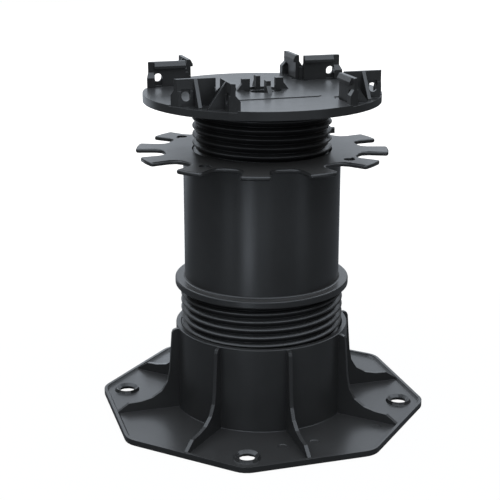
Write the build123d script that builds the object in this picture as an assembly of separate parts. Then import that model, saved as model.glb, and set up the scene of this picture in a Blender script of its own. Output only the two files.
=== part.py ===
from build123d import *
import os
from math import cos, degrees, pi, radians, sin, sqrt, tan

# Adjustable decking pedestal in moulded plastic, millimetres, +Z up.
# Origin: centre of the base's underside. The joist channels of the head run along X and Y.
# Three mouldings: a ribbed octagonal base, a threaded sleeve with a notched turning flange,
# and a head with joist clips. The sleeve has a right-hand thread below and takes the head's
# left-hand thread above, so turning the sleeve moves both ends apart or together.

# Base plate
ACROSS_FLATS = 202.0
CORNER_RADIUS = 14.0
PLATE_THICK = 2.2
RIM_HEIGHT = 3.8
RIM_WIDTH = 2.0
RIM_FOOT = 1.1
BOLT_CIRCLE_R = 92.6
BOLT_HOLE_R = 4.75
BOSS_FOOT_R = 8.4
BOSS_CREST_R = 7.4
BOSS_CREST_Z = 4.2
BOSS_SEAT_Z = 2.6
BOSS_UNDER_R = 6.8
BOSS_UNDER_Z = 1.7
BOSS_SIDES = 12
PLAIN_INSERT_R = 3.0
PLAIN_INSERT_DEPTH = 0.35

# Base socket
SOCKET_TOP = 57.6
SOCKET_FOOT_R = 57.3
SOCKET_TOP_R = 56.7
SOCKET_BORE_R = 53.5
FLOOR_HOLE_R = 44.0
FIN_COUNT = 8
FIN_TOP = 57.1
FIN_THICK = 2.4
FIN_STEPS = 5

# Sleeve
SLEEVE_FOOT = 31.5
SLEEVE_TOP = 174.0
TUBE_R = 50.4
TUBE_BORE_R = 47.6
COLLAR_R = 56.7
COLLAR_LOW = 84.6
COLLAR_HIGH = 89.3
SLEEVE_CREST_R = 53.2
SLEEVE_ROOT_R = 51.6
SLEEVE_PITCH = 5.24
SLEEVE_CREST_AT = 69.57
SLEEVE_THREAD_LOW = 33.2
SLEEVE_THREAD_HIGH = 86.3
STEM_BORE_R = 44.6
STEM_BORE_DEPTH = 26.0

# Both threads are drawn in straight steps; heights are given at this angle from +X
THREAD_STEPS = 16
THREAD_DATUM = -106.7

# Notched flange on top of the sleeve
FLANGE_R = 80.4
FLANGE_THICK = 2.8
TOOTH_COUNT = 12
TOOTH_TURN = 10.1
NOTCH_FLOOR_R = 62.6
NOTCH_ROUND = 6.0
TOOTH_TIP_WIDTH = 18.4
TOOTH_NECK_WIDTH = 16.4
TOOTH_ROUND = 1.8
KEY_HOLE_R = 3.5
KEY_HOLE_CIRCLE_R = 63.3
KEY_SLOT_WIDTH = 2.2
KEY_SLOT_REACH = 5.6

# Head disc
DISC_R = 75.0
DISC_TOP = 210.5
DISC_BAND = 5.4
DISC_SKIN = 2.6
DISC_SKIRT = 2.4
QUADRANT_DROP = 0.9
CROSS_ARM_DROP = 0.4
PAD_RISE = 0.5
LONG_ARM_HALF = 35.0
CROSS_ARM_HALF = 32.0
PAD_HALF_X = 29.0
RIB_COUNT = 8
RIB_THICK = 1.8

# Head stem
STEM_CREST_R = 44.3
STEM_ROOT_R = 42.9
STEM_BORE = 39.8
STEM_FOOT = 138.0
STEM_PITCH = 5.35
STEM_CREST_AT = 183.3
STEM_THREAD_LOW = 140.8
STEM_THREAD_HIGH = 204.4
STOP_LUG_R = 46.1
STOP_LUG_LOW = 183.7
STOP_LUG_HIGH = 186.9
STOP_LUG_TURN = -16.7
STOP_LUG_ARC = 6.0

# Joist clips
CLIP_HEIGHT = 15.4
CLIP_INNER = 36.0
CLIP_OUTER = 38.4
CLIP_OUTER_FOOT = 39.0
CLIP_START = 40.5
CLIP_END_R = 74.5
HOOK_REACH = 1.5
HOOK_END = 61.0
HOOK_NOSE_TOP = 12.6
HOOK_UNDER = 10.9
FOOT_REACH = 2.6
FOOT_START = 61.2
FOOT_TOP = 8.7
FOOT_NOSE = 5.5
SCREW_HOLE_R = 2.7
SCREW_HOLE_X = 58.7
SCREW_HOLE_Z = 5.3
SHUT_OFF = 1.7
BOSS_START = 54.2
BOSS_TOP = 8.4
BOSS_RISE = 1.0
GUSSET_X = 52.6
GUSSET_THICK = 2.2
GUSSET_FOOT = 49.2
CORNER_BLOCK = 41.2
CORNER_BLOCK_TOP = 7.7
CORNER_SLOPE_TOP = 10.8
CLIP_SLOT_WIDTH = 2.4
CLIP_SLOT_LENGTH = 5.0

# Centre tabs
TAB_INNER = 8.4
TAB_OUTER = 13.6
TAB_WIDTH = 2.8
TAB_HEIGHT = 7.9
TAB_GUSSET_TOP = 4.9
TAB_GUSSET_FOOT = 17.4
RECESS_R = 12.4
RECESS_DEPTH = 1.5
CENTRE_HOLE_R = 7.6


def ring(outer, inner, low, high):
    """A plain tube between two heights."""
    solid = Cylinder(outer, high - low) - Cylinder(inner, high - low)
    return Pos(0, 0, (low + high) / 2) * solid


def block(x0, x1, y0, y1, z0, z1):
    """A box given by its two corners."""
    size = Box(x1 - x0, y1 - y0, z1 - z0)
    return Pos((x0 + x1) / 2, (y0 + y1) / 2, (z0 + z1) / 2) * size


def slab(points, y0, y1):
    """A polygon of (x, z) points, extruded along Y from y0 to y1."""
    face = Plane.XZ * make_face(Polyline(*points, close=True))
    return Pos(0, y1, 0) * extrude(face, y1 - y0)


def side_slab(points, x0, x1):
    """A polygon of (y, z) points, extruded along X from x0 to x1."""
    face = Plane.YZ * make_face(Polyline(*points, close=True))
    return Pos(x0, 0, 0) * extrude(face, x1 - x0)


def threaded_tube(profile, core_r, bore_r, foot, top, pitch, hand, crest_at, low, high):
    """A tube with a helical ridge outside it, right-handed for hand 1 and left-handed for -1.

    profile is the ridge's loop of (radius, height) points, with its root on the core. The ridge
    runs from low to high, and passes the height crest_at at the angle THREAD_DATUM.
    """
    start = radians(THREAD_DATUM) + hand * 2 * pi * (low - crest_at) / pitch
    rows = []
    for k in range(int((high - low) / pitch * THREAD_STEPS) + 1):
        turn = start + hand * 2 * pi * k / THREAD_STEPS
        rise = low + pitch * k / THREAD_STEPS
        rows.append([Vector(r * cos(turn), r * sin(turn), rise + z) for r, z in profile[::hand]])
    loops = [rows[0], rows[-1]]
    for a, b in zip(rows, rows[1:]):
        for i in range(len(profile)):
            loops.append([a[i - 1], a[i], b[i]])
            loops.append([a[i - 1], b[i], b[i - 1]])
    ridge = Solid(Shell([Face(Wire.make_polygon(loop, close=True)) for loop in loops]))
    core = extrude(RegularPolygon(core_r, THREAD_STEPS, rotation=degrees(start)), top - foot)
    core -= Cylinder(bore_r, 3 * (top - foot))
    return Pos(0, 0, foot) * core + ridge


def eased(corners, steps):
    """A closed outline of (x, y, radius) corners, each rounded in a few straight steps."""
    loop = []
    for i, (x, y, radius) in enumerate(corners):
        here = Vector(x, y)
        back = (Vector(*corners[i - 1][:2]) - here).normalized()
        ahead = (Vector(*corners[(i + 1) % len(corners)][:2]) - here).normalized()
        half = radians(back.get_angle(ahead)) / 2
        centre = here + (back + ahead).normalized() * (radius / sin(half))
        first = here + back * (radius / tan(half)) - centre
        last = here + ahead * (radius / tan(half)) - centre
        for k in range(steps + 1 if radius else 1):
            spoke = first * (1 - k / steps) + last * (k / steps)
            loop.append(centre + spoke.normalized() * radius if radius else here)
    return make_face(Polyline(*loop, close=True))


def octagon(across, corner):
    """Octagon with a flat side towards each axis and rounded corners."""
    reach = across / 2 / cos(pi / 8)
    turns = [pi / 8 + k * pi / 4 for k in range(8)]
    return eased([(reach * cos(turn), reach * sin(turn), corner) for turn in turns], 4)


def frustum(low_r, high_r, low, high, sides):
    """A many-sided cone between two heights."""
    ends = [Pos(0, 0, z) * RegularPolygon(r, sides) for r, z in ((low_r, low), (high_r, high))]
    return loft(ends)


def make_fin():
    """One upright fin between the socket and the plate's edge, on the +X axis."""
    root = SOCKET_BORE_R + 1
    tip = ACROSS_FLATS / 2 - 1.2
    sweep_line = Bezier((91.2, 8.3), (72.5, 8.1), (64.4, 14.0), (63.3, 29.0))
    points = [(root, FIN_TOP), (root, 1), (tip, 1), (tip, 2.6)]
    points += [sweep_line @ (k / FIN_STEPS) for k in range(FIN_STEPS + 1)]
    points += [(61.3, 54.4), (60.5, 56.3), (58.8, FIN_TOP)]
    return extrude(Plane.XZ * make_face(Polyline(*points, close=True)), FIN_THICK / 2, both=True)


def make_bolt_boss():
    """The raised, countersunk ring round a floor screw."""
    boss = extrude(RegularPolygon(BOSS_FOOT_R, BOSS_SIDES), PLATE_THICK)
    boss += frustum(BOSS_FOOT_R, BOSS_CREST_R, PLATE_THICK, BOSS_CREST_Z, BOSS_SIDES)
    boss -= frustum(BOLT_HOLE_R + 0.1, BOSS_CREST_R - 0.2, BOSS_SEAT_Z, BOSS_CREST_Z, BOSS_SIDES)
    boss -= extrude(RegularPolygon(BOSS_UNDER_R, BOSS_SIDES), BOSS_UNDER_Z)
    return boss - Cylinder(BOLT_HOLE_R, 20)


def make_base():
    foot_width = RIM_WIDTH + RIM_FOOT
    plate = extrude(octagon(ACROSS_FLATS, CORNER_RADIUS), PLATE_THICK)
    rim = extrude(octagon(ACROSS_FLATS, CORNER_RADIUS), RIM_HEIGHT)
    well_top = octagon(ACROSS_FLATS - 2 * RIM_WIDTH, CORNER_RADIUS - RIM_WIDTH)
    well_foot = octagon(ACROSS_FLATS - 2 * foot_width, CORNER_RADIUS - foot_width)
    well = extrude(Pos(0, 0, PLATE_THICK + RIM_FOOT) * well_top, RIM_HEIGHT)
    well += loft([Pos(0, 0, PLATE_THICK) * well_foot, Pos(0, 0, PLATE_THICK + RIM_FOOT) * well_top])
    base = plate + (rim - well)

    base += revolve(Plane.XZ * make_face(Polyline(
        (FLOOR_HOLE_R, 0), (SOCKET_FOOT_R, 0), (SOCKET_FOOT_R, PLATE_THICK),
        (SOCKET_TOP_R, SOCKET_TOP), (SOCKET_BORE_R, SOCKET_TOP), (SOCKET_BORE_R, PLATE_THICK),
        (FLOOR_HOLE_R, PLATE_THICK), close=True)))
    fin = make_fin()
    for k in range(FIN_COUNT):
        base += Rot(0, 0, k * 360 / FIN_COUNT) * fin
    base -= Cylinder(FLOOR_HOLE_R, 20)

    boss = make_bolt_boss()
    for k in range(4):
        place = Rot(0, 0, 67.5 + 90 * k) * Pos(BOLT_CIRCLE_R, 0, 0)
        base -= place * Cylinder(BOSS_FOOT_R - 0.5, 20)
        base += place * boss
    for turn, radius in ((-97.3, 78.0), (-81.9, 78.0), (-50.5, 88.5)):
        place = Rot(0, 0, turn) * Pos(radius, 0, PLATE_THICK)
        base -= place * extrude(RegularPolygon(PLAIN_INSERT_R, 12), PLAIN_INSERT_DEPTH, both=True)
    return base


def make_flange():
    """The notched plate that turns the sleeve, with the teeth set off by TOOTH_TURN."""
    half_step = radians(180 / TOOTH_COUNT)

    def tooth_side(radius, width):
        """A point on the near side of the next tooth, seen along the notch between them."""
        along = sqrt(radius ** 2 - width ** 2 / 4)
        return (along * cos(half_step) + width / 2 * sin(half_step),
                along * sin(half_step) - width / 2 * cos(half_step))

    tip_x, tip_y = tooth_side(FLANGE_R, TOOTH_TIP_WIDTH)
    neck_x, neck_y = tooth_side(NOTCH_FLOOR_R + 2, TOOTH_NECK_WIDTH)
    floor_y = neck_y - (tip_y - neck_y) / (tip_x - neck_x) * (neck_x - NOTCH_FLOOR_R)
    notch = [(tip_x, -tip_y, TOOTH_ROUND), (NOTCH_FLOOR_R, -floor_y, NOTCH_ROUND),
             (NOTCH_FLOOR_R, floor_y, NOTCH_ROUND), (tip_x, tip_y, TOOTH_ROUND),
             (FLANGE_R * cos(half_step), FLANGE_R * sin(half_step), 0)]
    outline = []
    for k in range(TOOTH_COUNT):
        turn = radians(TOOTH_TURN) + (2 * k + 1) * half_step
        outline += [(x * cos(turn) - y * sin(turn), x * sin(turn) + y * cos(turn), radius)
                    for x, y, radius in notch]
    plate = extrude(eased(outline, 2), FLANGE_THICK)
    key = extrude(RegularPolygon(KEY_HOLE_R, 12), FLANGE_THICK)
    key += block(-KEY_SLOT_WIDTH / 2, KEY_SLOT_WIDTH / 2, 0, KEY_SLOT_REACH, 0, FLANGE_THICK)
    for k in range(4):
        plate -= Rot(0, 0, TOOTH_TURN + 30 + 90 * k) * Pos(KEY_HOLE_CIRCLE_R, 0, 0) * key
    return Pos(0, 0, SLEEVE_TOP - FLANGE_THICK) * plate


def make_sleeve():
    core = TUBE_BORE_R - 8
    sleeve = revolve(Plane.XZ * make_face(Polyline(
        (core, COLLAR_LOW), (COLLAR_R, COLLAR_LOW), (COLLAR_R, COLLAR_HIGH),
        (TUBE_R, COLLAR_HIGH), (TUBE_R, SLEEVE_TOP - 1), (core, SLEEVE_TOP - 1), close=True)))
    sleeve += make_flange()
    profile = [(SLEEVE_ROOT_R, 2.6), (SLEEVE_CREST_R, 0.0), (SLEEVE_CREST_R, -1.3),
               (SLEEVE_ROOT_R, -1.6)]
    sleeve += threaded_tube(profile, SLEEVE_ROOT_R, core, SLEEVE_FOOT, COLLAR_LOW, SLEEVE_PITCH,
                            1, SLEEVE_CREST_AT, SLEEVE_THREAD_LOW, SLEEVE_THREAD_HIGH)
    low = SLEEVE_TOP - STEM_BORE_DEPTH
    bore = revolve(Plane.XZ * make_face(Polyline(
        (0, SLEEVE_FOOT - 1), (TUBE_BORE_R, SLEEVE_FOOT - 1),
        (TUBE_BORE_R, low - TUBE_BORE_R + STEM_BORE_R), (STEM_BORE_R, low),
        (STEM_BORE_R, SLEEVE_TOP + 1), (0, SLEEVE_TOP + 1), close=True)))
    return sleeve - bore


def make_clip():
    """One clip panel along X, its inner face towards -Y, on the +X +Y quarter."""
    h = CLIP_HEIGHT
    sunk = -1.5
    far = DISC_R + 3
    panel = side_slab([(CLIP_INNER, sunk), (CLIP_OUTER_FOOT, sunk), (CLIP_OUTER, h),
                       (CLIP_INNER, h)], CLIP_START, far)
    panel += side_slab([(CLIP_INNER + 0.1, h), (CLIP_INNER, h), (CLIP_INNER - HOOK_REACH, HOOK_NOSE_TOP),
                        (CLIP_INNER - HOOK_REACH, HOOK_UNDER), (CLIP_INNER + 0.1, HOOK_UNDER)],
                       CLIP_START, HOOK_END)
    panel += side_slab([(CLIP_INNER + 0.1, FOOT_TOP), (CLIP_INNER, FOOT_TOP),
                        (CLIP_INNER - FOOT_REACH, FOOT_NOSE), (CLIP_INNER - FOOT_REACH, sunk),
                        (CLIP_INNER + 0.1, sunk)], FOOT_START, far)
    panel += block(BOSS_START, far, CLIP_INNER + 1, CLIP_OUTER + BOSS_RISE, sunk, BOSS_TOP)
    panel += side_slab([(CLIP_OUTER - 1, h - 0.1), (CLIP_OUTER, h - 0.1), (GUSSET_FOOT, 0),
                        (GUSSET_FOOT, sunk), (CLIP_OUTER - 1, sunk)],
                       GUSSET_X - GUSSET_THICK / 2, GUSSET_X + GUSSET_THICK / 2)
    hole = Pos(SCREW_HOLE_X, CLIP_INNER, SCREW_HOLE_Z) * Rot(90, 0, 0) * Cylinder(SCREW_HOLE_R, 12)
    panel -= hole
    panel -= block(SCREW_HOLE_X - SCREW_HOLE_R, SCREW_HOLE_X + SCREW_HOLE_R, CLIP_INNER - 1,
                   CLIP_INNER + SHUT_OFF, 0, SCREW_HOLE_Z)
    panel -= block(SCREW_HOLE_X - SCREW_HOLE_R, SCREW_HOLE_X + SCREW_HOLE_R,
                   CLIP_INNER + SHUT_OFF, CLIP_OUTER + 3, SCREW_HOLE_Z, BOSS_TOP + 1)
    panel &= Cylinder(CLIP_END_R, 80)
    return panel


def make_clip_corner():
    """Two clip panels at a right angle and the low block that ties their inner ends."""
    along_x = make_clip()
    along_y = mirror(along_x, Plane((0, 0, 0), x_dir=(0, 0, 1), z_dir=(1, -1, 0)))
    low, high = CLIP_OUTER - 0.4, CORNER_BLOCK
    tie = block(low, high, low, high, -1.5, CORNER_BLOCK_TOP)
    tie += side_slab([(low, CORNER_SLOPE_TOP), (high, CORNER_BLOCK_TOP), (low, CORNER_BLOCK_TOP)],
                     CLIP_START, high)
    tie += mirror(side_slab([(low, CORNER_SLOPE_TOP), (high, CORNER_BLOCK_TOP),
                             (low, CORNER_BLOCK_TOP)], CLIP_START, high),
                  Plane((0, 0, 0), x_dir=(0, 0, 1), z_dir=(1, -1, 0)))
    return along_x + along_y + tie


def make_head():
    quadrant = DISC_TOP - QUADRANT_DROP
    under = quadrant - DISC_SKIN
    band_low = DISC_TOP - DISC_BAND
    disc = ring(DISC_R, STEM_BORE - 10, under, quadrant)
    disc += Pos(0, 0, (under + quadrant) / 2) * Cylinder(STEM_BORE - 9, DISC_SKIN)
    disc += ring(DISC_R, DISC_R - DISC_SKIRT, band_low, quadrant)
    edge = Pos(0, 0, (under + DISC_TOP + 2) / 2) * Cylinder(DISC_R, DISC_TOP + 2 - under)
    arms = block(-LONG_ARM_HALF, LONG_ARM_HALF, -DISC_R - 1, DISC_R + 1, under, DISC_TOP)
    arms += block(-DISC_R - 1, DISC_R + 1, -CROSS_ARM_HALF, CROSS_ARM_HALF, under,
                  DISC_TOP - CROSS_ARM_DROP)
    disc += arms & edge
    pad_corners = [(x, y, 4) for x, y in ((PAD_HALF_X, CROSS_ARM_HALF), (-PAD_HALF_X, CROSS_ARM_HALF),
                                          (-PAD_HALF_X, -CROSS_ARM_HALF),
                                          (PAD_HALF_X, -CROSS_ARM_HALF))]
    disc += Pos(0, 0, DISC_TOP - 1) * extrude(eased(pad_corners, 3), PAD_RISE + 1)

    rib = block(STEM_BORE + 1, DISC_R - 1, -RIB_THICK / 2, RIB_THICK / 2, band_low + 0.8, under + 0.5)
    for k in range(RIB_COUNT):
        disc += Rot(0, 0, (k + 0.5) * 360 / RIB_COUNT) * rib

    profile = [(STEM_ROOT_R, 2.3), (STEM_CREST_R, 0.0), (STEM_CREST_R, -1.7), (STEM_ROOT_R, -2.5)]
    stem = threaded_tube(profile, STEM_ROOT_R, STEM_BORE, STEM_FOOT, under + 0.5, STEM_PITCH, -1,
                         STEM_CREST_AT, STEM_THREAD_LOW, STEM_THREAD_HIGH)
    lug = ring(STOP_LUG_R, STEM_ROOT_R - 1, STOP_LUG_LOW, STOP_LUG_HIGH)
    reach = STOP_LUG_R * tan(radians(STOP_LUG_ARC / 2))
    lug &= block(STEM_BORE, STOP_LUG_R + 2, -reach, reach, STOP_LUG_LOW, STOP_LUG_HIGH)
    stem += Rot(0, 0, STOP_LUG_TURN) * lug
    head = disc + stem

    floor = DISC_TOP + PAD_RISE - RECESS_DEPTH
    head -= Pos(0, 0, floor + 5) * Cylinder(RECESS_R, 10)
    head -= Pos(0, 0, DISC_TOP) * Cylinder(CENTRE_HOLE_R, 20)
    tab = block(TAB_INNER, TAB_OUTER, -TAB_WIDTH / 2, TAB_WIDTH / 2, floor - 0.5,
                DISC_TOP + TAB_HEIGHT)
    tab += slab([(TAB_OUTER - 1, DISC_TOP + TAB_GUSSET_TOP + 1), (TAB_OUTER, DISC_TOP + TAB_GUSSET_TOP),
                 (TAB_GUSSET_FOOT, DISC_TOP + PAD_RISE - 0.3), (TAB_OUTER - 1, floor - 0.5)],
                -TAB_WIDTH / 2, TAB_WIDTH / 2)
    for k in range(4):
        head += Rot(0, 0, 90 * k) * tab

    corner = Pos(0, 0, DISC_TOP) * make_clip_corner()
    slot = block(CLIP_START - 2.4, CLIP_START - 2.4 + CLIP_SLOT_LENGTH,
                 CLIP_INNER - CLIP_SLOT_WIDTH, CLIP_INNER, under - 1, DISC_TOP + 2)
    slots = slot + mirror(slot, Plane((0, 0, 0), x_dir=(0, 0, 1), z_dir=(1, -1, 0)))
    for flip_x in (False, True):
        for flip_y in (False, True):
            piece, cut = corner, slots
            if flip_x:
                piece, cut = mirror(piece, Plane.YZ), mirror(cut, Plane.YZ)
            if flip_y:
                piece, cut = mirror(piece, Plane.XZ), mirror(cut, Plane.XZ)
            head -= cut
            head += piece
    return head


os.makedirs("parts", exist_ok=True)
export_step(make_base(), "parts/base.step")
export_step(make_sleeve(), "parts/sleeve.step")
export_step(make_head(), "parts/head.step")
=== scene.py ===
from collections import namedtuple
from math import cos, pi, radians, sin

import bmesh
import bpy
from mathutils import Euler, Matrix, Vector


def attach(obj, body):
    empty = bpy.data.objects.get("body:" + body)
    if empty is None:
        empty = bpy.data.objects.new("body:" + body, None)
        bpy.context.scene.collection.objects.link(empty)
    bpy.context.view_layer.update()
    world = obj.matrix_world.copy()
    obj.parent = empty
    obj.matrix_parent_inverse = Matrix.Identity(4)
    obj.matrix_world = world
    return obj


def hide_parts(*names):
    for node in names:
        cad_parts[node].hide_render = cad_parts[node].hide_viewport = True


# An adjustable decking pedestal in black moulded plastic, dressed for rendering.
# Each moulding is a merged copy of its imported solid. The straight steps round its screw rings,
# keyholes and thread cores become true arcs, both threads are wound anew with rounded ridges, and
# the flange, collar, socket's mouth and rib feet get the small radii that a mould leaves.
# Lengths are in metres, and angles are written in degrees.

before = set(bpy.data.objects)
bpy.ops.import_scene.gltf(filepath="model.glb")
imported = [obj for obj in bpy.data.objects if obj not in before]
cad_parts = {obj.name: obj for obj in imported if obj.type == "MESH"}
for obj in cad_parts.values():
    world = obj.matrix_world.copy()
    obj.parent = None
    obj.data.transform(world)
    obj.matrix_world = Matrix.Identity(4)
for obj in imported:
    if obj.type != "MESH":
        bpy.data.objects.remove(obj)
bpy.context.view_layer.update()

VIEW_AZIMUTH = -16.71      # the side that the photo was taken from
THREAD_FRONT = -106.7      # the direction in which a thread's crest height is given
STEPS_A_TURN = 72          # in a wound ridge
MERGE_WITHIN = 2e-6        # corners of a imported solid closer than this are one
SLIVER = 1e-6              # edges shorter than this are dropped
HOLE_CLEARANCE = 0.0072    # edges nearer than this to a hole's centre stay crisp

# A thread ridge's section, down from its upper foot: the share of the ridge's depth, and the
# height from the upper edge of its crest
RIDGE = [(-0.15, 0.00165), (0.0, 0.00145), (0.40, 0.00080), (0.75, 0.00020), (0.95, -0.00020),
         (1.0, -0.00050), (0.97, -0.00090), (0.80, -0.00130), (0.50, -0.00165), (0.35, -0.00215),
         (0.0, -0.00375), (-0.15, -0.00395)]

# The black plastic's two shades of colour, the painted light on faces that look straight up, and
# the painted shade in the roots of its threads
DEEP_SHADE = (0.0172, 0.0170, 0.0166, 1.0)
PALE_SHADE = (0.0208, 0.0206, 0.0201, 1.0)
PAINTED_TOP_LIGHT = (0.0420, 0.0400, 0.0380, 1.0)
PAINTED_ROOT_SHADE = (0.0020, 0.0020, 0.0020, 1.0)
WHITE = (1.0, 1.0, 1.0, 1.0)
COOL_LIGHT = (0.82, 0.90, 1.0)


# Materials

class Wire:
    """One node socket, with the arithmetic that the materials use."""

    def __init__(self, tree, socket=None):
        self.tree = tree
        self.socket = socket

    def node(self, kind, settings=None, inputs=None, out=0):
        """A new node with its settings, then its sockets' values or links."""
        made = self.tree.nodes.new(kind)
        for name, value in (settings or {}).items():
            setattr(made, name, value)
        for name, value in (inputs or {}).items():
            if isinstance(value, Wire):
                self.tree.links.new(value.socket, made.inputs[name])
            else:
                made.inputs[name].default_value = value
        return Wire(self.tree, made.outputs[out] if made.outputs else None)

    def beside(self, out):
        """Another output of the same node."""
        return Wire(self.tree, self.socket.node.outputs[out])

    def feed(self, **wires):
        """Links other wires to the inputs of this wire's own node."""
        for name, wire in wires.items():
            self.tree.links.new(wire.socket, self.socket.node.inputs[name.replace("_", " ")])

    def maths(self, operation, first, second):
        return self.node("ShaderNodeMath", {"operation": operation}, {0: first, 1: second})

    def __add__(self, other):
        return self.maths("ADD", self, other)

    def __mul__(self, other):
        return self.maths("MULTIPLY", self, other)

    def __or__(self, other):
        return self.maths("MAXIMUM", self, other)

    __radd__ = __add__
    __rmul__ = __mul__
    __ror__ = __or__

    def step(self, low, high, to_low=0.0, to_high=1.0):
        """A smooth step from to_low to to_high as the value goes from low to high."""
        return self.node("ShaderNodeMapRange", {"interpolation_type": "SMOOTHSTEP"},
                         {"Value": self, "From Min": low, "From Max": high,
                          "To Min": to_low, "To Max": to_high})

    def blend(self, first, second):
        """The colour that goes from first to second as the value goes from 0 to 1."""
        return self.node("ShaderNodeMix", {"data_type": "RGBA"},
                         {0: self, 6: first, 7: second}, out=2)

    def scaled(self, *scale):
        return self.node("ShaderNodeVectorMath", {"operation": "MULTIPLY"}, {0: self, 1: scale})

    def length(self):
        return self.node("ShaderNodeVectorMath", {"operation": "LENGTH"}, {0: self}, out=1)

    def height(self):
        return self.node("ShaderNodeSeparateXYZ", None, {0: self}, out=2)

    def noise(self, scale, detail, roughness):
        """Noise over this vector; scale is in cells per metre."""
        return self.node("ShaderNodeTexNoise", None, {"Vector": self, "Scale": scale,
                                                     "Detail": detail, "Roughness": roughness})


def new_material(name, colour, roughness, **values):
    """A plain shader, and the place in object space that its patterns read."""
    material = bpy.data.materials.new(name)
    material.use_nodes = True
    material.node_tree.nodes.clear()
    tree = Wire(material.node_tree)
    shader = tree.node("ShaderNodeBsdfPrincipled", None,
                       {"Base Color": (*colour, 1.0), "Roughness": roughness,
                        **{key.replace("_", " "): value for key, value in values.items()}})
    return material, shader, tree.node("ShaderNodeTexCoord", out="Object")


def black_plastic(name, top_light_share, thread=None):
    """Black polypropylene from an eroded steel mould: cloudy gloss, fine grain, faint rubs.

    The share given, from 0 to 1, is the painted light on faces that look straight up: a paler
    colour that stands in for light from above.
    The roots of the thread, if there is one, get painted shade: a blacker colour.
    """
    gloss = 0.28
    material, shader, place = new_material(name, (0.012, 0.012, 0.013), gloss, IOR=1.49)
    clouds = place.noise(scale=26.0, detail=4.0, roughness=0.6)
    grains = place.noise(scale=1500.0, detail=3.0, roughness=0.65)
    streaks = place.node("ShaderNodeMapping", None, {"Vector": place, "Scale": (1.0, 1.0, 0.12)})
    rubs = streaks.noise(scale=160.0, detail=5.0, roughness=0.7)
    upward = place.beside("Normal").height()
    tint = clouds.step(0.35, 0.7).blend(DEEP_SHADE, PALE_SHADE)
    # Painted light: faces that look straight up are paler, by the given share.
    tint = upward.step(0.93, 0.995, 0.0, top_light_share).blend(tint, PAINTED_TOP_LIGHT)
    # Painted shade: the thread's roots are painted blacker.
    if thread:
        tint = valleys(place, thread).blend(tint, PAINTED_ROOT_SHADE)
    dull = clouds.step(0.3, 0.75, gloss - 0.015, gloss + 0.02) + rubs.step(0.52, 0.75, 0.0, 0.03)
    corners = place.node("ShaderNodeBevel", {"samples": 6}, {"Radius": 0.0003})
    relief = place.node("ShaderNodeBump", None, {"Strength": 0.07, "Distance": 0.0001,
                                                 "Height": grains, "Normal": corners})
    shader.feed(Base_Color=tint, Roughness=dull + grains * 0.05, Normal=relief)
    shader.node("ShaderNodeOutputMaterial", None, {"Surface": shader})
    return material


def valleys(place, thread):
    """The mask of the painted shade in a thread's roots: 1 at its core and 0 at its crests, above
    its foot and below its upper end.
    """
    radius = place.scaled(1.0, 1.0, 0.0).length()
    height = place.height()
    foot, top = thread.valleys
    return (radius.step(thread.core, thread.crest - 0.0002, 1.0, 0.0)
            * radius.step(thread.core - 0.0006, thread.core - 0.0003)
            * height.step(foot, foot + 0.0005) * height.step(top, top + 0.0003, 1.0, 0.0))


# Shapes

# Hand is 1 for a right-handed thread and -1 for a left-handed one. Front crest is the height at
# which a crest passes the front. The ridge winds from low to high, and the last field gives the
# heights between which its roots are painted blacker, as painted shade.
Thread = namedtuple("Thread", "core crest pitch hand front_crest low high valleys")


class Zone:
    """The space between two heights and two radii round an upright axis."""

    def __init__(self, low, high, inner, outer, axis=(0.0, 0.0)):
        self.low, self.high, self.inner, self.outer = low, high, inner, outer
        self.axis = Vector(axis)

    def spoke(self, vert):
        """The way from the axis straight out to a corner."""
        return vert.co.xy - self.axis

    def spans(self, vert):
        return self.low < vert.co.z < self.high

    def holds(self, vert):
        return self.spans(vert) and self.inner < self.spoke(vert).length < self.outer


def around(radius, first, step, count):
    """Points on a circle about the screw axis."""
    turns = [radians(first + step * k) for k in range(count)]
    return [(radius * cos(turn), radius * sin(turn)) for turn in turns]


def merged(node_name):
    """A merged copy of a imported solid's mesh, ready to edit."""
    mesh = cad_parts[node_name].data.copy()
    mesh.name = node_name + "_skin"
    shape = bmesh.new()
    shape.from_mesh(mesh)
    bmesh.ops.remove_doubles(shape, verts=shape.verts, dist=MERGE_WITHIN)
    bmesh.ops.dissolve_degenerate(shape, edges=shape.edges, dist=SLIVER)
    return mesh, shape


def true_arcs(shape, zone, turn, cuts):
    """Divides the straight steps in a zone, and sets the new points on arcs round its axis.

    Only steps that go round by more than the given turn are divided.
    """

    def is_step(edge):
        first, last = [zone.spoke(vert) for vert in edge.verts]
        return all(zone.holds(vert) for vert in edge.verts) and first.angle(last) > radians(turn)

    flat = [edge for edge in shape.edges
            if edge.is_manifold and edge.calc_face_angle(1.0) < radians(0.3) and is_step(edge)
            and len({round(zone.spoke(vert).length, 5) for vert in edge.verts}) == 2]
    bmesh.ops.dissolve_edges(shape, edges=flat, use_verts=False)
    radius = shape.verts.layers.float.new("radius")
    for vert in shape.verts:
        vert[radius] = zone.spoke(vert).length
    steps = [edge for edge in shape.edges if is_step(edge)]
    made = bmesh.ops.subdivide_edges(shape, edges=steps, cuts=cuts, use_grid_fill=True)
    for vert in made["geom_inner"]:
        if isinstance(vert, bmesh.types.BMVert):
            spoke = zone.spoke(vert)
            vert.co.xy = zone.axis + spoke * (vert[radius] / spoke.length)
    shape.verts.layers.float.remove(radius)


def smooth_core(shape, zone, radius):
    """Draws a thread of straight steps back to a plain core of the given radius."""
    for vert in shape.verts:
        if zone.holds(vert):
            vert.co.xy = vert.co.xy * (radius / vert.co.xy.length)
    bmesh.ops.dissolve_degenerate(shape, edges=shape.edges, dist=SLIVER)


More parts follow.
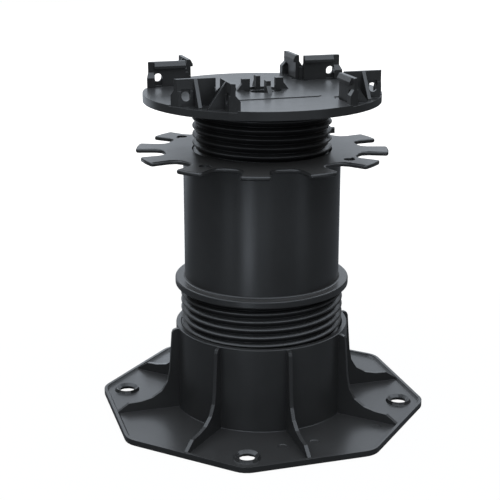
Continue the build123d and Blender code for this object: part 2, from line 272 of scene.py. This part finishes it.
def wind_ridge(shape, thread):
    """Winds a rounded ridge round a thread's core."""
    soft = shape.faces.layers.int["soft"]
    old = set(shape.faces)
    turn = (radians(THREAD_FRONT)
            + thread.hand * 2 * pi * (thread.low - thread.front_crest) / thread.pitch)
    outline = []
    for share, rise in RIDGE:
        reach = thread.core + (thread.crest - thread.core) * share
        outline.append(shape.verts.new((reach * cos(turn), reach * sin(turn), thread.low + rise)))
    edges = [shape.edges.new((outline[k - 1], outline[k])) for k in range(len(outline))]
    turns = (thread.high - thread.low) / thread.pitch
    steps = round(turns * STEPS_A_TURN)
    bmesh.ops.contextual_create(shape, geom=edges)
    wound = bmesh.ops.spin(shape, geom=outline + edges, cent=(0, 0, 0), axis=(0, 0, 1),
                           dvec=(0, 0, (thread.high - thread.low) / steps),
                           angle=thread.hand * 2 * pi * turns, steps=steps, use_duplicate=False)
    last = [item for item in wound["geom_last"] if isinstance(item, bmesh.types.BMEdge)]
    bmesh.ops.contextual_create(shape, geom=last)
    made = [face for face in shape.faces if face not in old]
    bmesh.ops.recalc_face_normals(shape, faces=made)
    for face in made:
        face[soft] = 1


def round_over(shape, zone, width, clear_of=(), merge=True):
    """Rounds the crisp level edges in a zone, as a mould leaves them.

    Edges by the holes in clear_of stay crisp. Merge joins the zone's level faces first.
    """
    soft = shape.faces.layers.int["soft"]

    def is_free(vert):
        return (zone.holds(vert)
                and all((vert.co.xy - Vector(spot)).length > HOLE_CLEARANCE for spot in clear_of))

    if merge:
        flat = [edge for edge in shape.edges
                if edge.is_manifold and edge.calc_face_angle(1.0) < radians(0.2)
                and all(abs(face.normal.z) > 0.999 for face in edge.link_faces)
                and all(zone.spans(vert) for vert in edge.verts)]
        bmesh.ops.dissolve_limit(shape, angle_limit=radians(0.2), edges=flat)
    crisp = [edge for edge in shape.edges
             if edge.is_manifold and edge.calc_face_angle(0.0) > radians(60)
             and abs(edge.verts[0].co.z - edge.verts[1].co.z) < 1e-5
             and all(is_free(vert) for vert in edge.verts)]
    made = bmesh.ops.bevel(shape, geom=crisp, offset=width, offset_type="OFFSET", segments=3,
                           profile=0.5, affect="EDGES", clamp_overlap=True, material=-1)
    for face in made["faces"]:
        face[soft] = 1


def set_shading(shape):
    """Smooth over curved walls and rounded edges, crisp at every other fold."""
    soft = shape.faces.layers.int["soft"]
    for face in shape.faces:
        face.smooth = True
    for edge in shape.edges:
        rounded = sum(face[soft] for face in edge.link_faces)
        upright = all(abs(face.normal.z) < 0.05 for face in edge.link_faces)
        if rounded == 2:
            limit = 60
        elif rounded:
            limit = 0
        else:
            limit = 50 if upright else 18
        edge.smooth = edge.is_manifold and edge.calc_face_angle(0.0) < radians(limit)


def dress(node_name, material, arcs, rounds=(), core=None, thread=None):
    """The finished skin of one moulding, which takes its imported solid's place."""
    mesh, shape = merged(node_name)
    shape.faces.layers.int.new("soft")
    for arc in arcs:
        true_arcs(shape, **arc)
    if thread:
        smooth_core(shape, core, thread.core)
        wind_ridge(shape, thread)
    shape.normal_update()
    for edges in rounds:
        round_over(shape, **edges)
    shape.normal_update()
    set_shading(shape)
    shape.to_mesh(mesh)
    shape.free()
    mesh.materials.clear()
    mesh.materials.append(material)
    skin = bpy.data.objects.new(node_name + "_skin", mesh)
    bpy.context.scene.collection.objects.link(skin)
    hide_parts(node_name)
    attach(skin, node_name)
    return skin


# The base: a ring round each of its four screw holes, its socket's mouth, and the feet of its
# socket and ribs on the plate

screw_holes = around(radius=0.0926, first=67.5, step=90, count=4)
screw_rings = [dict(zone=Zone(low=0.0016, high=0.0043, inner=0.0048, outer=0.0085, axis=spot),
                    turn=20, cuts=3) for spot in screw_holes]
socket_mouth = dict(zone=Zone(low=0.0574, high=0.0578, inner=0.0560, outer=0.0570), width=0.0005)
rib_feet = dict(zone=Zone(low=0.0021, high=0.0023, inner=0.0560, outer=0.0860), width=0.0006,
                clear_of=screw_holes, merge=False)
# The base's faces that look straight up get a third of the painted light.
dress("base", black_plastic("base_polypropylene", top_light_share=0.33),
      arcs=screw_rings, rounds=[socket_mouth, rib_feet])

# The sleeve: its right-handed thread, its flange with four keyholes, and its collar, which meets
# the tube in a fillet

sleeve_thread = Thread(core=0.0508, crest=0.0532, pitch=0.00524, hand=1, front_crest=0.06957,
                       low=0.0332, high=0.0863, valleys=(0.0310, 0.0845))
sleeve_core = Zone(low=0.0310, high=0.0850, inner=0.0500, outer=0.0540)
key_centres = around(radius=0.0633, first=40.1, step=90, count=4)
keyholes = [dict(zone=Zone(low=0.1700, high=0.1750, inner=0.0030, outer=0.0037, axis=spot),
                 turn=20, cuts=3) for spot in key_centres]
flange_rim = dict(zone=Zone(low=0.1711, high=0.1741, inner=0.0600, outer=0.0815), width=0.0012,
                  clear_of=key_centres)
collar_rim = dict(zone=Zone(low=0.0845, high=0.0894, inner=0.0560, outer=0.0570), width=0.0008)
tube_foot = dict(zone=Zone(low=0.0892, high=0.0894, inner=0.0500, outer=0.0508), width=0.0011)
# The sleeve's faces that look straight up get the full painted light.
dress("sleeve", black_plastic("sleeve_polypropylene", top_light_share=1.0, thread=sleeve_thread),
      arcs=[dict(zone=sleeve_core, turn=10, cuts=4)] + keyholes,
      rounds=[flange_rim, collar_rim, tube_foot], core=sleeve_core, thread=sleeve_thread)

# The head: the left-handed thread on its stem

head_thread = Thread(core=0.0420, crest=0.0443, pitch=0.00535, hand=-1, front_crest=0.1828,
                     low=0.1408, high=0.2044, valleys=(0.1370, 0.2065))
head_core = Zone(low=0.1370, high=0.2072, inner=0.0415, outer=0.0450)
# The head gets no painted light on its faces that look up.
dress("head", black_plastic("head_polypropylene", top_light_share=0.0, thread=head_thread),
      arcs=[dict(zone=head_core, turn=10, cuts=4)], core=head_core, thread=head_thread)


# Stage, lamps and camera

def add_camera():
    """The photo's camera, fitted to the outlines that it shows."""
    data = bpy.data.cameras.new("photo_camera")
    data.lens = 84.03
    data.sensor_width = 36.0
    data.clip_start = 0.01
    camera = bpy.data.objects.new("photo_camera", data)
    camera.location = (-0.2174, -0.6977, 0.3302)
    camera.rotation_euler = Euler((radians(72.91), 0.0, radians(VIEW_AZIMUTH)))
    bpy.context.scene.collection.objects.link(camera)
    bpy.context.scene.camera = camera


def softbox(name, bearing, distance, width, height, centre_height, radiance):
    """An upright lamp that faces the screw axis.

    Its bearing is in degrees round from the camera's side, left positive.
    """
    turn = radians(VIEW_AZIMUTH - 90 - bearing)
    data = bpy.data.lights.new(name, "AREA")
    data.shape = "RECTANGLE"
    data.size, data.size_y = width, height
    data.energy = radiance * pi * width * height
    data.color = COOL_LIGHT
    lamp = bpy.data.objects.new(name, data)
    lamp.location = Vector((distance * cos(turn), distance * sin(turn), centre_height))
    away = Vector((lamp.location.x, lamp.location.y, 0))
    lamp.rotation_euler = (-away).to_track_quat("-Z", "Y").to_euler()
    lamp.visible_camera = False
    bpy.context.scene.collection.objects.link(lamp)
    return lamp


def add_world():
    """A dim room that looks white to the camera and paler in reflections."""
    world = bpy.data.worlds.new("pale_room")
    bpy.context.scene.world = world
    world.use_nodes = True
    world.node_tree.nodes.clear()
    seen = Wire(world.node_tree).node("ShaderNodeLightPath", out="Is Camera Ray")
    through, glossy = seen.beside("Is Transmission Ray"), seen.beside("Is Glossy Ray")
    room = seen.node("ShaderNodeBackground", None, {"Color": WHITE, "Strength": 0.06})
    white = seen.node("ShaderNodeBackground", None, {"Color": WHITE, "Strength": 1.0})
    mixed = seen.node("ShaderNodeMixShader", None,
                      {0: seen | through | glossy * 0.08, 1: room, 2: white})
    mixed.node("ShaderNodeOutputWorld", None, {"Surface": mixed})


def add_floor():
    """A pale floor, white to the camera apart from the object's shadow."""
    shape = bmesh.new()
    bmesh.ops.create_grid(shape, x_segments=1, y_segments=1, size=3.0)
    mesh = bpy.data.meshes.new("floor")
    shape.to_mesh(mesh)
    shape.free()
    floor = bpy.data.objects.new("floor", mesh)
    bpy.context.scene.collection.objects.link(floor)
    material, shader, place = new_material("pale_floor", (0.10, 0.10, 0.10), 0.9,
                                           Specular_IOR_Level=0.0)
    ray = place.node("ShaderNodeLightPath", out="Is Camera Ray")
    seen = ray | ray.beside("Is Transmission Ray")
    glow = place.node("ShaderNodeEmission", None, {"Color": WHITE, "Strength": 1.37})
    share = seen * place.length().step(0.20, 0.90, 0.70, 1.0)
    mixed = place.node("ShaderNodeMixShader", None, {0: share, 1: shader, 2: glow})
    mixed.node("ShaderNodeOutputMaterial", None, {"Surface": mixed})
    mesh.materials.append(material)


# Each lamp's bearing, distance, width, height, centre's height and radiance
LAMPS = {
    "window_left": (18, 0.33, 0.08, 0.085, 0.045, 3.0),
    "mid_left": (45, 0.34, 0.09, 0.085, 0.045, 0.55),
    "wall_left": (60, 0.46, 0.36, 0.40, 0.36, 0.50),
    "edge_left": (141, 0.36, 0.06, 0.085, 0.045, 0.35),
    "front": (-3, 0.36, 0.10, 0.085, 0.045, 0.50),
    "front_high": (0, 0.90, 1.20, 0.36, 0.46, 1.0),
    "strip_right": (-56, 0.40, 0.10, 0.10, 0.055, 0.60),
    "low_front": (-25, 0.68, 0.80, 0.12, 0.07, 0.55),
    "low_left": (140, 0.68, 0.45, 0.12, 0.07, 0.90),
    "backdrop_low": (180, 1.20, 0.90, 0.44, 0.23, 0.50),
    "backdrop": (180, 1.20, 2.00, 0.60, 0.76, 1.19),
    "back_left": (166, 0.33, 0.09, 0.085, 0.045, 2.2),
    "back_right": (-160, 0.36, 0.07, 0.085, 0.045, 0.8),
    "overhead": (0, 0.001, 2.4, 2.4, 1.00, 2.4),
}

add_camera()
add_world()
add_floor()
lamps = {name: softbox(name, *values) for name, values in LAMPS.items()}
lamps["overhead"].rotation_euler = Euler((0.0, 0.0, radians(VIEW_AZIMUTH)))  # faces down
bpy.context.scene.view_settings.view_transform = "Standard"
